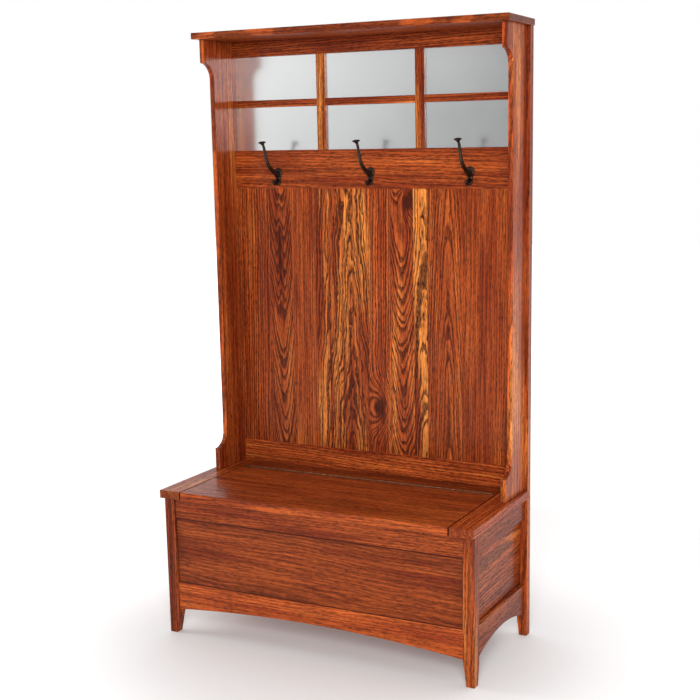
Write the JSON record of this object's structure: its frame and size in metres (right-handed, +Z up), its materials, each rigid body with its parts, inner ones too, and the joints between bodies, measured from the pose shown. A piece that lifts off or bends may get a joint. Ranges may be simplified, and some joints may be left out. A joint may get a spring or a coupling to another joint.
{
  "type": "hall tree",
  "caption": "Hall tree with a lift-lid storage bench, a tall boarded back with coat hooks, a row of small mirror panes and shaped side boards under a flat crown.",
  "frame": {"origin": "floor level, at the centre of the bounding box seen from above", "axes": "+Z up, +Y towards the wall behind it, +X to the right of a person who faces it"},
  "size_m": [1.032, 0.464, 1.829],
  "materials": {
    "oak": "stained oak under clear gloss lacquer",
    "light_oak": "golden stained oak under clear gloss lacquer",
    "dark_oak": "dark stained oak under clear gloss lacquer",
    "plain_wood": "plain matt wood, out of sight",
    "mirror": "silvered glass",
    "bronze": "dark oil-rubbed bronze colour",
    "brass": "satin",
    "steel": "zinc plated"
  },
  "bodies": {
    "cabinet": {"front_left_leg": "oak", "front_right_leg": "oak", "rear_left_post": "oak", "rear_right_post": "oak", "front_top_rail": "oak", "front_panel": "oak", "front_bottom_rail": "oak", "left_top_rail": "oak", "left_panel": "oak", "left_bottom_rail": "oak", "right_top_rail": "oak", "right_panel": "oak", "right_bottom_rail": "oak", "chest_back_rail": "plain_wood", "chest_back_panel": "plain_wood", "chest_bottom": "plain_wood", "left_seat_slab": "oak", "right_seat_slab": "oak", "rear_seat_strip": "dark_oak", "left_side_board": "oak", "right_side_board": "oak", "crown_board": "oak", "back_top_rail": "oak", "hook_rail": "oak", "back_base_rail": "oak", "left_mullion": "light_oak", "right_mullion": "light_oak", "left_cross_bar": "oak", "middle_cross_bar": "oak", "right_cross_bar": "oak", "mirror_upper_left": "mirror", "mirror_upper_middle": "mirror", "mirror_upper_right": "mirror", "mirror_lower_left": "mirror", "mirror_lower_middle": "mirror", "mirror_lower_right": "mirror", "mirror_backer": "plain_wood", "back_plank_1": "oak", "back_plank_2": "oak", "back_plank_3": "oak", "back_plank_4": "light_oak", "back_plank_5": "light_oak", "back_plank_6": "oak", "back_plank_7": "dark_oak", "back_plank_8": "light_oak", "back_plank_9": "oak", "back_plank_10": "oak", "left_hook": "bronze", "middle_hook": "bronze", "right_hook": "bronze", "hook_screws": "bronze", "hinge_fixed_leaf": "brass", "hinge_pin": "brass", "fixed_leaf_screws": "brass"},
    "lid_body": {"lid": "oak", "lid_battens": "plain_wood", "batten_screws": "steel", "hinge_moving_leaf": "brass", "moving_leaf_screws": "brass"}
  },
  "joints": [
    {"name": "lid_hinge", "type": "hinge", "parent": "cabinet", "child": "lid_body", "pos_m": [0, 0.11875, 0.4637], "axis": [-1, 0, 0], "range_deg": [0, 104]}
  ]
}
